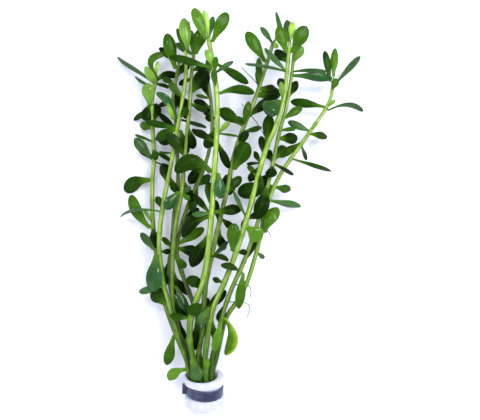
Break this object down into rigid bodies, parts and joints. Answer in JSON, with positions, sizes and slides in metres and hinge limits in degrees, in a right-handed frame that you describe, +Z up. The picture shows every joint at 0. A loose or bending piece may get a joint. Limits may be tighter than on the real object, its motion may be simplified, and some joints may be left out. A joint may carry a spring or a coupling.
{
  "type": "bunch of bacopa stems",
  "caption": "A bunch of cut aquarium plant stems with opposite spatulate leaves, lying down, its cut ends held in a foam sleeve with a wound soft metal strip",
  "frame": {"origin": "on the surface that the bunch lies on, under the foam sleeve, on its underside where it is pressed flat", "axes": "+Y runs from the sleeve to the growing tips, +X to the right as the bunch is looked down on with its tips up, +Z up from the surface"},
  "size_m": [0.1544, 0.2453, 0.0358],
  "materials": {
    "stem": "satin",
    "leaf": "satin",
    "foam": "matte",
    "strip": "satin"
  },
  "bodies": {
    "root": {"foam_sleeve": "foam", "metal_strip": "strip", "stem_01": "stem", "stem_01_leaf_01": "leaf", "stem_01_leaf_02": "leaf", "stem_01_leaf_07": "leaf", "stem_01_leaf_11": "leaf", "stem_01_leaf_17": "leaf", "stem_01_leaf_18": "leaf", "stem_02": "stem", "stem_02_leaf_01": "leaf", "stem_02_leaf_05": "leaf", "stem_03": "stem", "stem_03_leaf_01": "leaf", "stem_03_leaf_07": "leaf", "stem_03_leaf_14": "leaf", "stem_03_leaf_15": "leaf", "stem_03_leaf_18": "leaf", "stem_03_leaf_20": "leaf", "stem_03_leaf_21": "leaf", "stem_04": "stem", "stem_04_leaf_01": "leaf", "stem_04_leaf_07": "leaf", "stem_04_leaf_15": "leaf", "stem_05": "stem", "stem_05_leaf_01": "leaf", "stem_05_leaf_03": "leaf", "stem_05_leaf_06": "leaf", "stem_05_leaf_07": "leaf", "stem_05_leaf_11": "leaf", "stem_05_leaf_17": "leaf", "stem_05_leaf_18": "leaf", "stem_05_leaf_23": "leaf", "stem_05_leaf_27": "leaf", "stem_06": "stem", "stem_06_leaf_01": "leaf", "stem_06_leaf_10": "leaf", "stem_06_leaf_13": "leaf", "stem_06_leaf_22": "leaf", "stem_07": "stem", "stem_07_leaf_01": "leaf", "stem_07_leaf_03": "leaf", "stem_07_leaf_11": "leaf", "stem_07_leaf_21": "leaf", "stem_07_leaf_22": "leaf", "stem_07_leaf_26": "leaf", "stem_08": "stem", "stem_08_leaf_02": "leaf", "stem_08_leaf_15": "leaf", "stem_08_leaf_16": "leaf", "stem_08_leaf_17": "leaf", "stem_09": "stem", "stem_09_leaf_01": "leaf", "stem_09_leaf_03": "leaf", "stem_09_leaf_05": "leaf", "stem_09_leaf_06": "leaf", "stem_09_leaf_15": "leaf", "stem_09_leaf_18": "leaf", "stem_10": "stem", "stem_10_leaf_14": "leaf"}
  },
  "joints": []
}
